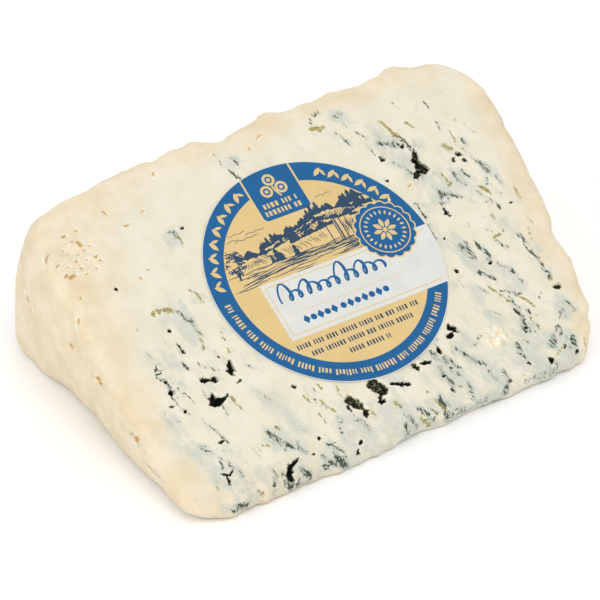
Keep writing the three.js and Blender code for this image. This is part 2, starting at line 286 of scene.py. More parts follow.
END_PITS = [
    (27.7, -1.3, 2.6, 1.8, 0.6, 40), (25.0, -1.9, 1.8, 1.0, 0.6, 60), (15.3, -7.1, 2.6, 1.8, 0.7, 20),
    (-0.7, 2.6, 5.0, 1.3, 0.9, 28), (-0.7, -5.4, 2.6, 1.5, 0.9, 30), (4.4, -13.3, 3.2, 1.4, 0.9, 32),
    (-3.5, -14.3, 2.2, 1.1, 0.7, 30), (-14.5, -11.8, 2.2, 1.3, 0.7, 20), (-19.6, -8.8, 2.8, 1.7, 0.9, 10),
    (-24.6, -9.3, 2.0, 1.2, 0.7, 40), (-20.0, -15.5, 2.0, 1.1, 0.7, 25), (10.0, -3.0, 1.6, 1.0, 0.6, 10),
    (-12.0, -5.6, 1.6, 1.0, 0.6, 30), (8.4, 3.6, 1.5, 0.9, 0.6, 20), (-8.6, -15.6, 1.8, 1.0, 0.6, 35),
]
# Hollows where nothing sets their places: how many, then the least and the most of their length, width,
# depth and turn.
RIND_PITS = 74, (0.8, 0.5, 0.4, -90), (2.4, 1.0, 0.8, 90)
RIGHT_PITS = 13, (0.8, 0.5, 0.4, -90), (2.6, 1.2, 0.8, 90)
UNDERSIDE_EYES = 26, (0.8, 0.5, 0.8, -100), (4.2, 1.9, 2.4, -50)
HOLLOW_SEED = 17


def hollows():
    """Every hollow as (centre, along, side, out, length, width, depth, kind): the listed ones, and seeded
    random ones for the rind, the right end and the underside."""
    found = []

    def add(centre, first, second, out, length, width, depth, turn, kind):
        turn = math.radians(turn)
        along = math.cos(turn) * first + math.sin(turn) * second
        found.append((centre, along, np.cross(out, along), out, length, width, depth, kind))

    for kind, table in (("eye", EYES), ("pit", PITS)):
        for at, up, length, width, depth, turn in table:
            middle = face_middle + at * across + up * upslope
            grown = "mossy" if depth < 0 else kind
            add(middle, across, upslope, outward, length, width, abs(depth), turn, grown)
    ahead, above = np.array([0.0, 1.0, 0.0]), np.array([0.0, 0.0, 1.0])
    for at, up, *size in END_PITS:
        middle = face_middle + np.array([-HALF_HEIGHT - END_CROWN / 2, at, up])
        add(middle, ahead, above, -across, *size, "pit")
    draw = np.random.default_rng(HOLLOW_SEED)
    count, least, most = RIND_PITS
    for _ in range(count):
        angle, x = draw.uniform(0.05, SECTOR - 0.03), draw.uniform(-48, 50)
        out = np.array([0, math.cos(angle), math.sin(angle)])
        middle = meeting_line + across * x + WHEEL_RADIUS * out
        add(middle, across, np.cross(out, across), out, *draw.uniform(least, most), "pit")
    count, least, most = RIGHT_PITS
    for _ in range(count):
        reach, angle = draw.uniform(25, 80), draw.uniform(0.12, SECTOR - 0.12)
        middle = meeting_line + reach * np.array([0, math.cos(angle), math.sin(angle)])
        middle[0] = meeting_line[0] + dished(np.array(HALF_HEIGHT + END_CROWN / 2), reach)
        add(middle, ahead, above, across, *draw.uniform(least, most), "pit")
    count, least, most = UNDERSIDE_EYES
    for _ in range(count):
        x, reach = draw.uniform(-46, 46), draw.uniform(14, 74)
        middle = meeting_line + across * x + ahead * reach
        add(middle, across, ahead, -above, *draw.uniform(least, most), "eye")
    return found


PULL = 0.55  # how much of the way to a hollow's centre the nearest points are drawn


def drawn_in(rows, normal, holes):
    """The skin with its points drawn in around each hollow, so that its walls are finely meshed.  A point
    d away moves towards the centre by PULL * exp(-(d / r)^2 / 2) of the way, r being 0.42 * length + 0.5."""
    shift = np.zeros(rows.shape)
    total = np.zeros(rows.shape[:2])
    for centre, _, _, out, length, *_ in holes:
        offset = centre - rows
        offset = offset - (offset @ out)[..., None] * out
        near = np.linalg.norm(centre - rows, axis=-1)
        weight = PULL * np.exp(-((near / (0.42 * length + 0.5)) ** 2) / 2) * smooth(0.7, 0.95, normal @ out)
        shift += weight[..., None] * offset
        total += weight
    return rows + shift / np.maximum(1, total / PULL)[..., None]


MOUTH_FROM, MOUTH_TO = 0.62, 1.12  # where a hollow's wall starts and ends, its outline being 1
LIP_AT, LIP_WIDTH = 1.35, 0.3  # in the same terms
PIT_LIP, EYE_LIP = 0.18, 0.10  # heights of the lips


def carved(points, normal, holes):
    """How deep each point is sunk in a hollow, its height on a hollow's lip, and how dark, ochre and mossy
    it is.  In a hollow's own frame, warped by grain, rho = hypot(2p / length, 2q / width): the depth falls
    from the whole at MOUTH_FROM to nothing at MOUTH_TO, and the lip is a low swell round LIP_AT."""
    sunk, lip, dark, ochre, moss = (np.zeros(len(points)) for _ in range(5))
    for centre, along, side, out, length, width, depth, kind in holes:
        offset = points - centre
        box = np.where((np.linalg.norm(offset, axis=-1) < 1.3 * length + 1.5) & (normal @ out > 0.6))[0]
        here, offset = points[box], offset[box]
        size = max(0.5, 0.42 * width)
        wander = 0.24 * min(width, 2.0)
        p = offset @ along + wander * grains(here, (1, size, 21), (0.5, size / 2, 30))
        q = offset @ side + wander * grains(here, (1, size, 22), (0.5, size / 2, 31))
        rho = np.hypot(2 * p / length, 2 * q / width)
        uneven = 1 + 0.28 * grain(here, 0.9, 31)
        height = PIT_LIP if kind == "pit" else EYE_LIP
        marks = [
            (sunk, depth * (1 - smooth(MOUTH_FROM, MOUTH_TO, rho)) * uneven),
            (lip, height * np.exp(-(((rho - LIP_AT) / LIP_WIDTH) ** 2))),
        ]
        if kind == "pit":
            marks.append((ochre, 1 - smooth(0.5, 1.3, rho)))
        else:
            marks.append((dark, 1 - smooth(0.72, 1.45, rho)))
        if kind == "mossy":
            marks.append((moss, 1 - smooth(0.9, 1.5, rho)))
        for field, mark in marks:
            field[box] = np.maximum(field[box], mark)
    return sunk, lip, dark, ochre, moss


STREAK_LEAN = math.radians(11)  # the streaks lean this far off the steepest line
SHORT_STREAKS = 118
SHORT_STREAK_SEED = 29
# Streaks of blue mould that follow the piercing and the curd, down the slope: each is start and end across
# and up the face, width, and strength; a negative width is that of an olive-green streak.
STREAKS = [
    (31.0, 28.3, 33.0, 23.5, -0.6, 0.9), (33.0, 23.5, 34.2, 19.5, 0.6, 0.9),
    (28.6, 23.6, 30.9, 22.0, 0.6, 0.8), (26.2, 22.8, 26.4, 20.5, 0.5, 0.6),
    (30.7, 22.1, 33.0, 20.7, 0.6, 0.8), (36.0, 21.5, 35.0, 19.0, 0.6, 0.5),
    (47.9, 25.0, 46.2, 21.8, 0.9, 0.35), (45.4, 20.2, 44.7, 17.0, -0.4, 0.8),
    (41.4, 17.6, 42.5, 15.8, -0.6, 0.9), (45.6, 15.0, 47.6, 10.7, 0.7, 0.7),
    (47.6, 10.7, 48.4, 8.0, 0.4, 1.0), (48.4, 8.0, 49.6, 4.4, 0.8, 0.55), (44.2, 5.7, 45.4, 3.2, -0.4, 0.9),
    (46.6, 3.8, 48.6, 0.8, 0.8, 0.5), (51.3, 2.6, 51.2, -0.4, -0.4, 0.7),
    (44.8, 1.0, 45.4, -0.8, 0.35, 0.9), (41.0, 0.4, 41.3, -1.4, 0.6, 0.5),
    (43.0, 1.8, 43.2, 0.4, -0.4, 0.7), (34.5, 7.8, 36.9, 6.3, 0.45, 0.8), (36.9, 6.3, 38.3, 5.0, 0.5, 0.8),
    (37.6, 9.0, 36.6, 6.0, -0.4, 0.7), (36.6, 6.0, 35.0, 5.0, 0.4, 0.8), (34.4, 7.0, 33.3, 3.5, 0.5, 0.7),
    (42.4, -5.7, 40.4, -6.8, -0.35, 0.8), (40.2, -7.6, 41.9, -10.0, 0.4, 0.8),
    (39.4, -4.0, 40.2, -5.2, 0.6, 0.7), (43.5, -4.0, 45.8, -8.3, 0.5, 0.5),
    (45.8, -8.3, 46.8, -13.2, 0.6, 0.8), (46.8, -13.2, 46.2, -20.6, 0.6, 0.95),
    (35.1, -6.8, 35.8, -10.2, 0.5, 1.0), (37.2, -12.3, 39.2, -15.4, 0.7, 0.7),
    (31.1, -5.6, 31.9, -9.2, 0.5, 0.7), (46.2, -20.6, 47.6, -23.0, -0.6, 0.9),
    (35.2, -26.0, 34.4, -29.4, 0.8, 0.9), (34.4, -29.4, 36.4, -31.0, 0.4, 0.6),
    (33.4, -19.6, 34.2, -22.0, -0.5, 0.8), (26.6, -12.0, 26.8, -15.0, 0.6, 0.6),
    (40.6, -32.2, 37.2, -36.8, 0.3, 1.0), (37.2, -36.8, 38.8, -36.4, 0.2, 0.9),
    (38.8, -36.4, 39.6, -33.6, 0.2, 0.8), (41.6, -32.0, 40.4, -32.4, 0.4, 0.8),
    (36.6, -39.4, 40.8, -37.8, -0.2, 0.9), (43.4, -37.4, 43.0, -40.0, 0.8, 0.9),
    (29.6, -31.4, 30.4, -36.0, 0.4, 0.8), (16.5, -26.8, 20.8, -34.0, 0.4, 0.75),
    (10.6, -30.2, 10.9, -37.2, 0.5, 0.9), (23.2, -37.0, 24.2, -39.6, 0.6, 0.9),
    (24.2, -39.6, 22.6, -41.6, 0.6, 0.9), (14.8, -36.6, 13.9, -40.6, 0.6, 0.8),
    (13.9, -24.0, 12.8, -26.4, 0.3, 0.6), (16.4, -20.0, 16.0, -24.0, 0.5, 0.5),
    (6.9, -38.0, 7.4, -41.0, 1.1, 0.95), (1.6, -38.4, 3.4, -41.0, 1.2, 0.9),
    (-2.5, -38.0, -1.5, -41.5, 0.9, 0.6), (-36.0, 3.6, -34.0, 0.4, 0.5, 0.7),
    (-34.0, 0.4, -33.6, -3.6, 0.5, 0.8), (-40.2, 4.8, -35.8, 3.2, -0.8, 1.0),
    (-33.6, -3.0, -34.6, -6.8, -0.5, 0.7), (-46.4, -3.0, -45.6, -8.4, 0.7, 0.5),
    (-45.9, -8.4, -45.8, -15.6, 0.8, 0.8), (-43.8, -3.0, -43.4, -7.0, 0.6, 0.4),
    (-36.9, -9.6, -34.8, -12.2, 0.7, 0.7), (-32.4, -7.6, -31.2, -11.0, 0.4, 0.7),
    (-39.6, -15.0, -39.2, -17.4, 0.6, 0.5), (-50.5, -16.0, -48.0, -19.8, 0.8, 0.6),
    (-42.3, -22.8, -40.4, -27.4, 0.6, 0.7), (-46.2, -26.8, -43.4, -31.6, 0.8, 0.6),
    (-43.4, -31.6, -42.0, -35.6, 0.8, 0.7), (-38.0, -31.0, -46.0, -26.8, 0.25, 0.45),
    (-30.4, -31.8, -28.4, -34.4, 0.8, 0.7), (-34.2, -36.6, -33.6, -41.0, 0.7, 0.7),
    (-29.4, -39.6, -27.8, -41.6, 1.0, 0.9), (-22.2, -32.0, -20.2, -37.0, 0.7, 0.5),
    (-19.9, -22.2, -18.6, -27.4, 0.7, 0.55), (-18.2, -27.8, -15.8, -33.4, 0.8, 0.5),
    (-13.2, -25.6, -11.8, -29.0, -0.5, 0.7), (-12.6, -33.0, -11.2, -37.4, 0.8, 0.5),
    (-47.6, 11.6, -45.0, 10.6, 1.3, 0.35), (-27.5, 20.8, -26.6, 18.6, 0.8, 0.7),
    (-26.8, 18.4, -26.4, 17.0, -0.5, 0.8), (-31.0, 13.6, -29.8, 11.0, 0.9, 0.4),
    (-8.0, 34.0, -7.6, 30.5, 0.6, 0.6), (-6.8, 29.5, -6.3, 27.0, 0.5, 0.85),
    (-4.9, 32.2, -4.4, 30.2, 0.6, 0.65), (18.9, 35.2, 16.6, 34.3, 0.4, 0.85),
    (16.6, 34.3, 16.0, 32.6, 0.5, 0.7), (15.6, 31.8, 17.4, 31.6, -0.3, 1.0),
    (17.6, 31.0, 18.8, 31.5, -0.3, 1.0), (24.8, 28.6, 26.4, 25.4, 0.5, 0.7),
    (10.4, 29.6, 10.2, 27.2, 0.5, 0.4), (21.8, 32.4, 23.6, 32.8, 0.6, 0.6),
    (23.4, 30.6, 22.8, 27.4, -0.4, 0.7), (24.6, 27.0, 26.2, 24.0, 0.5, 0.5),
    (-50.4, 11.9, -50.0, 10.0, -0.4, 0.5), (51.0, -26.0, 47.6, -30.0, 0.9, 0.5),
    (38.6, -26.9, 41.6, -27.0, -0.25, 0.6), (-46.4, -41.4, -43.4, -41.8, 0.5, 0.9),
    (-35.4, -37.6, -36.4, -41.4, 0.6, 0.8), (-40.8, -38.4, -40.0, -41.6, -0.8, 0.7),
    (-33.4, -41.4, -31.0, -42.0, 1.0, 1.0), (-47.2, -33.0, -48.0, -38.0, -0.4, 0.6),
    (-43.4, -38.4, -42.4, -41.0, -0.4, 0.6), (-24.0, -41.0, -19.0, -41.6, 0.8, 0.9),
    (21.0, -27.9, 23.8, -26.4, 0.3, 0.7), (-25.4, -29.0, -23.6, -33.0, 0.5, 0.4),
    (28.4, -41.4, 36.0, -41.6, 1.0, 0.6), (10.0, -41.8, 18.0, -42.0, 1.0, 0.6),
]

# Broad pale clouds of mould: place across and up the face, radius, strength.
CLOUDS = [
    (-47.7, 11.4, 4.0, 0.5), (-26.0, 19.5, 3.4, 0.75), (-42.0, -4.0, 4.0, 0.55), (-37.0, -11.5, 4.0, 0.6),
    (-46.0, -28.0, 4.6, 1.0), (-40.5, -27.0, 3.6, 0.8), (-44.0, -34.5, 5.0, 1.15), (-29.0, -33.5, 3.6, 0.9),
    (-21.5, -28.0, 3.4, 0.7), (-30.5, -7.5, 3.0, 0.55), (-20.5, -37.5, 4.4, 1.0), (-50.0, -18.5, 4.0, 0.8),
    (-44.0, -40.0, 7.0, 1.3), (-37.0, -38.5, 5.0, 1.2), (-28.0, -41.0, 5.0, 1.0), (-15.0, -36.5, 4.2, 0.9),
    (-51.0, -25.0, 3.4, 0.9), (-46.5, -11.0, 3.0, 0.7), (-52.0, -8.0, 3.4, 0.6), (-6.0, -37.0, 4.0, 0.8),
    (31.0, 26.0, 3.2, 0.6), (46.5, 22.5, 3.0, 0.6), (40.0, 9.0, 4.0, 0.5), (29.6, -17.0, 4.0, 0.85),
    (25.0, -35.0, 3.0, 0.8), (43.7, -28.5, 3.4, 0.8), (23.0, -31.0, 3.0, 0.7), (25.5, -13.4, 2.6, 0.7),
    (40.0, -14.7, 2.8, 0.7), (-7.0, 31.0, 3.6, 0.7), (8.0, -38.5, 5.0, 0.8), (22.4, 33.0, 2.6, 1.0),
    (-36.0, 2.5, 3.4, 0.6), (-33.0, -39.5, 3.6, 0.8), (47.5, -12.0, 3.0, 0.7), (36.0, -34.5, 3.0, 0.7),
]


def mouldy(u, v):
    """How mouldy the sloping face is at a place, from 0 to 1: most to the right and towards the nose."""
    right = 0.72 * smooth(4, 32, u) * (1 - smooth(22, 34, v)) * (1 - 0.6 * smooth(44, 52, u))
    low = smooth(-12, -33, v) * smooth(-51, -40, u)
    left = 0.8 * smooth(-51, -43, u) * (1 - smooth(2, 12, v)) * (1 - smooth(-30, -10, u))
    top = 0.45 * smooth(-14, -6, u) * (1 - smooth(28, 36, v)) * smooth(20, 26, v)
    return np.maximum(np.maximum(right, low), np.maximum(left, top))


def short_streaks():
    """Seeded short streaks that fill in between the listed ones, where the face is mouldy."""
    draw = np.random.default_rng(SHORT_STREAK_SEED)
    found = []
    while len(found) < SHORT_STREAKS:
        u, v = draw.uniform(-50, 50), draw.uniform(-42, 30)
        if draw.random() > mouldy(u, v) + 0.1 or math.hypot(u, v) < LABEL_RADIUS:
            continue
        lean = STREAK_LEAN + draw.normal(0, 0.35)
        length = draw.uniform(1.0, 4.5)
        width = draw.uniform(0.1, 0.35) * draw.choice([1, 1, 1, -1])
        end = (u + length * math.sin(lean), v - length * math.cos(lean))
        found.append((u, v, *end, width, draw.uniform(0.55, 0.9)))
    return found


def near_streaks(points):
    """Blue and olive strength on the sloping face.  With d the distance to a streak's centre line, bent by
    grain, its mark is strength * exp(-(d / (0.8 width + 0.4))^2), and a wide halo round it is fainter."""
    local = points - face_middle
    u = local @ across + 0.7 * grain(points, 3.2, 41)
    v = local @ upslope + 0.7 * grain(points, 3.2, 42)
    on_face = smooth(-3.5, -1.5, local @ outward)
    blue, olive = np.zeros(u.shape), np.zeros(u.shape)
    for u0, v0, u1, v1, width, strength in STREAKS + short_streaks():
        run = np.array([u1 - u0, v1 - v0])
        share = np.clip(((u - u0) * run[0] + (v - v0) * run[1]) / (run @ run), 0, 1)
        away = np.hypot(u - u0 - share * run[0], v - v0 - share * run[1])
        mark = strength * on_face * np.exp(-((away / (0.8 * abs(width) + 0.4)) ** 2))
        halo = 0.42 * strength * on_face * np.exp(-((away / (abs(width) + 2.2)) ** 2))
        if width < 0:
            olive = np.maximum(olive, mark)
            blue = np.maximum(blue, 0.6 * halo)
        else:
            blue = np.maximum(blue, np.maximum(mark, halo))
    return blue, olive


# Multiplied by this, points go into a frame where lengths down the slope are nearly halved, so that grain
# read there is drawn out down the slope and a little to the right.
DRAWN_OUT = np.stack([across + 0.2 * upslope, 0.55 * upslope - 0.1 * across, outward]).T


def clouded(points, u, v):
    """How far haze has spread through the paste: the broader of the mouldy parts and the listed clouds,
    each strength * exp(-(d / radius)^2), with ragged edges of drawn-out grain."""
    on_face = smooth(-3, -1, (points - face_middle) @ outward)
    patch = 0 * u
    for at, up, wide, strength in CLOUDS:
        away = np.hypot(u + 0.2 * (v - up) - at, 0.8 * (v - up)) / wide
        patch = np.maximum(patch, strength * np.exp(-(away**2)) * on_face)
    ragged = grains(points @ DRAWN_OUT, (0.5, 5.5, 81), (0.45, 2.4, 82), (0.3, 1.1, 83))
    return smooth(0.3, 1.35, np.maximum(0.92 * mouldy(u, v), 1.15 * patch) + ragged)


CRUMBLY_AT, CRUMBLY_WIDE, CRUMBLY_HIGH = (-49.5, 23.5), 6, 7
TORN_AT, TORN_RADIUS = (26.9, -28.4), 3.1


def relief_of(points, normal, x, v, edge, nose):
    """The skin's fine relief, and how torn it is.  The rind and the ends are softly lumpy, the cut faces
    knife-smooth but faintly grained; on the sloping face a crumbly patch by the rind's left corner, where
    the curds never knitted, and a flake right of the label, which the knife tore, stand up in petals."""
    cut_face = smooth(0, 4, edge)
    ends = 1 - cut_face
    relief = ends * grains(points, (0.42, 6.5, 61), (0.28, 2.6, 62), (0.14, 1.3, 60))
    relief += (0.35 + 0.65 * ends) * grains(points, (0.10, 3.1, 63), (0.07, 1.15, 64))
    relief += 0.12 * cut_face * grain(points, 14, 65)
    relief += nose * grains(points, (0.55, 4.5, 68), (0.35, 2.0, 69))
    relief -= 0.22 * ends * smooth(0.6, 0.95, grains(points, (1, 2.2, 66), (0.35, 1.1, 67)))
    from_crumbly = ((x - CRUMBLY_AT[0]) / CRUMBLY_WIDE) ** 4 + ((v - CRUMBLY_AT[1]) / CRUMBLY_HIGH) ** 4
    crumbly = np.exp(-from_crumbly) * (normal @ outward > 0.7)
    relief += crumbly * (0.2 * grain(points, 1.3, 73) + 0.14 * np.abs(grain(points, 2.1, 74)))
    from_torn = points - (face_middle + TORN_AT[0] * across + TORN_AT[1] * upslope)
    torn = np.exp(-((np.linalg.norm(from_torn, axis=-1) / TORN_RADIUS) ** 4)) * (normal @ outward > 0.8)
    relief += torn * (1.3 * np.abs(grain(points, 1.9, 71)) + 0.3 * np.abs(grain(points, 1.0, 72)) - 0.25)
    # The second value marks the torn flake and speckles of the crumbly patch, where the finish paints
    # highlight and shade.
    return relief, np.maximum(torn, 0.3 * crumbly * smooth(0.1, 0.6, grain(points, 2.0, 75)))


def closed_skin(name, points, count, around):
    """A mesh of `count` rows of `around` points, closed at each end by a fan to a pole; poles come last."""
    first = np.arange(count - 1)[:, None] * around + np.arange(around)
    turned = np.roll(first, -1, 1)
    quads = np.stack([first, turned, turned + around, first + around], -1).reshape(-1, 4)
    ring, ahead = np.arange(around), np.roll(np.arange(around), -1)
    last = (count - 1) * around
    left_fan = np.stack([np.full(around, count * around), ahead, ring], -1)
    right_fan = np.stack([np.full(around, count * around + 1), last + ring, last + ahead], -1)
    mesh = bpy.data.meshes.new(name)
    mesh.from_pydata(points * MM, [], quads.tolist() + left_fan.tolist() + right_fan.tolist())
    return mesh


def placed(name, data):
    """A new object in the scene."""
    made = bpy.data.objects.new(name, data)
    bpy.context.scene.collection.objects.link(made)
    return made


MARKS = ("blue", "olive", "dark", "ochre", "rind_tan_and_nose_shade", "cloud", "torn", "moss")


def cheese():
    """The whole skin: its rows of points moved along their normals by the relief, the hollows, the dents
    and the worn nose.  What its finish reads is kept in point attributes named MARKS, from 0 to 1."""
    rows, poles = cheese_skin()
    holes = hollows()
    rows = drawn_in(rows, normals_of(rows), holes)
    count, around = rows.shape[:2]
    points = np.concatenate([rows.reshape(-1, 3), poles])
    normal = np.concatenate([normals_of(rows).reshape(-1, 3), [[-1, 0, 0], [1, 0, 0]]])
    x, y, z = (points - meeting_line).T
    reach, angle = np.hypot(y, z), np.arctan2(z, y)
    v = reach - label_along
    right_end = dished(np.full(len(x), HALF_HEIGHT), reach)
    edge = np.minimum(np.minimum(x + HALF_HEIGHT, right_end - x), WHEEL_RADIUS - reach)
    nose = 1 - smooth(NOSE_REACH + 1, NOSE_REACH + 9, reach)
    relief, torn = relief_of(points, normal, x, v, edge, nose)
    sunk, lip, dark, ochre, moss = carved(points, normal, holes)
    # Under the label the cheese is pressed flat.
    local = points - face_middle
    from_label = np.hypot(local @ across, local @ upslope) - LABEL_RADIUS
    pressed = (1 - smooth(-0.4, 1.2, from_label)) * (normal @ outward > 0.9)
    moved = points + ((relief + lip) * (1 - pressed) - sunk)[:, None] * normal
    moved[:, 0] += end_dent(x, reach, angle)
    worn = nose_wear(x, reach)
    moved[:, 1] += worn * np.cos(angle)
    moved[:, 2] += worn * np.sin(angle)
    moved[:, 2] = np.maximum(moved[:, 2], 0)
    # The rind's tan runs further in at the left.  Along the nose's left half the same tan is painted shade,
    # darkening the lower left corner.
    inwards = edge + grains(points, (2.6, 9, 51), (1.2, 3.5, 52))
    tan_width = 8 + 15 * smooth(-18, -46, x) * smooth(-4, 18, v) * smooth(0, 0.5, normal[:, 2])
    rind_tan_and_nose_shade = 1 - smooth(1.5, 1.5 + tan_width, inwards)
    rind_tan_and_nose_shade = np.maximum(rind_tan_and_nose_shade, 0.75 * nose * (1 - smooth(-40, -6, x)))
    # Haze keeps clear of the rind.  The underside has veins of its own, where drawn-out grain is near 0.
    blue, olive = near_streaks(points)
    cloud = clouded(points, x, v) * smooth(1.5, 9, inwards)
    underside = smooth(-0.2, -0.9, normal[:, 2]) * (1 - rind_tan_and_nose_shade)
    vein = 1 - smooth(0.02, 0.3, np.abs(grains(points @ DRAWN_OUT, (1, 1.3, 84), (0.4, 0.7, 85))))
    blue = np.maximum(blue, 0.9 * underside * vein * smooth(0.3, 0.9, cloud))
    mesh = closed_skin("cheese", moved, count, around)
    for name, value in zip(MARKS, (blue, olive, dark, ochre, rind_tan_and_nose_shade, cloud, torn, moss)):
        layer = mesh.attributes.new(name, "FLOAT", "POINT")
        layer.data.foreach_set("value", np.clip(value, 0, 1).astype(np.float32))
    mesh.shade_smooth()
    return placed("cheese", mesh)


class Wire:
    """One output socket of a material's nodes.  Arithmetic on wires and numbers adds Math nodes."""

    def __init__(self, tree, socket=None):
        self.tree = tree
        self.socket = socket

    def node(self, kind, settings=None, inputs=None, output=0):
        """Adds a node: sets its settings first, then its sockets from numbers or wires."""
        made = self.tree.nodes.new("ShaderNode" + kind)
        for name, value in (settings or {}).items():
            setattr(made, name, value)
        for name, value in (inputs or {}).items():
            if isinstance(value, Wire):
                self.tree.links.new(value.socket, made.inputs[name])
            else:
                made.inputs[name].default_value = value
        return Wire(self.tree, made.outputs[output])

    def math(self, operation, first, second=0.0):
        """One Math node."""
        return self.node("Math", {"operation": operation}, {0: first, 1: second})

    def __add__(self, other):
        return self.math("ADD", self, other)

    def __radd__(self, other):
        return self.math("ADD", other, self)

    def __sub__(self, other):
        return self.math("SUBTRACT", self, other)

    def __rsub__(self, other):
        return self.math("SUBTRACT", other, self)

    def __mul__(self, other):
        return self.math("MULTIPLY", self, other)

    def __rmul__(self, other):
        return self.math("MULTIPLY", other, self)

    def __abs__(self):
        return self.math("ABSOLUTE", self)

    def rise(self, low, high):
        """0 below low, 1 above high, smooth between."""
        settings = {"interpolation_type": "SMOOTHSTEP"}
        return self.node("MapRange", settings, {"Value": self, "From Min": low, "From Max": high})

    def attribute(self, name):
        """A point attribute of the mesh."""
        return self.node("Attribute", {"attribute_name": name}, output=2)

    def place(self, turn=(0, 0, 0), stretch=(1, 1, 1)):
        """Object coordinates, turned, then stretched."""
        whole = self.node("TexCoord", output=3)
        turned = self.node("Mapping", {"vector_type": "TEXTURE"}, {"Vector": whole, "Rotation": turn})
        return self.node("Mapping", {"vector_type": "TEXTURE"}, {"Vector": turned, "Scale": stretch})

    def lean(self, place, turn, stretch):
        """A place turned and stretched once more."""
        inputs = {"Vector": place, "Rotation": turn, "Scale": stretch}
        return self.node("Mapping", {"vector_type": "TEXTURE"}, inputs)

    def noise(self, place, size, detail=2.0, roughness=0.5):
        """Noise from 0 to 1 in cells `size` millimetres wide."""
        inputs = {"Vector": place, "Scale": 1 / (size * MM), "Detail": detail, "Roughness": roughness}
        return self.node("TexNoise", {}, inputs)

    def mix(self, share, first, second):
        """Colour from first to second by share."""
        return self.node("Mix", {"data_type": "RGBA"}, {0: share, 6: first, 7: second}, output=2)


def finish(name, **constants):
    """A new material, its starting wire, and its Principled shader with constants set on its sockets."""
    material = bpy.data.materials.new(name)
    material.use_nodes = True
    shader = material.node_tree.nodes["Principled BSDF"]
    for socket, value in constants.items():
        shader.inputs[socket.replace("_", " ")].default_value = value
    return material, Wire(material.node_tree), shader


def paint(red, green, blue):
    """The linear colour that nodes hold, from an 8-bit sRGB one: ((c + 0.055) / 1.055)^2.4 above 0.04 and
    c / 12.92 below."""
    c = np.array([red, green, blue]) / 255
    linear = np.where(c > 0.04045, ((c + 0.055) / 1.055) ** 2.4, c / 12.92)
    return (*linear.tolist(), 1.0)


# The cheese's colours; of a pair, noise mixes the second into the first.
CREAM = paint(225, 219, 201), paint(219, 212, 190)
TAN = paint(226, 213, 188), paint(218, 201, 168)
HAZE, SMUDGE, THREAD = paint(186, 192, 182), paint(122, 136, 122), paint(38, 52, 38)
OLIVE_MOULD = paint(112, 108, 38), paint(176, 158, 66)
# The pits' pale lip colour is a painted highlight beside each pit; their ochre is the pits' own colour.
PAINTED_PIT_HIGHLIGHT, DRY_PIT = paint(244, 239, 224), paint(222, 176, 82)
# The eyes' pale lip colour is a painted highlight: a white rim where a moist edge would catch the light.
PAINTED_EYE_HIGHLIGHT = paint(236, 232, 216)
EYE_RIM = paint(84, 98, 78), paint(140, 134, 66)
EYE_INSIDE = paint(8, 11, 7), paint(34, 42, 24)
MOSS, MOSS_THREAD = (paint(22, 27, 15), paint(84, 90, 50)), paint(176, 174, 136)
# The flake's pair is painted light: tan as painted shade between its petals, pale cream as painted highlight
# on them.
FLAKE_HIGHLIGHT_AND_SHADE = paint(224, 204, 160), paint(242, 236, 219)


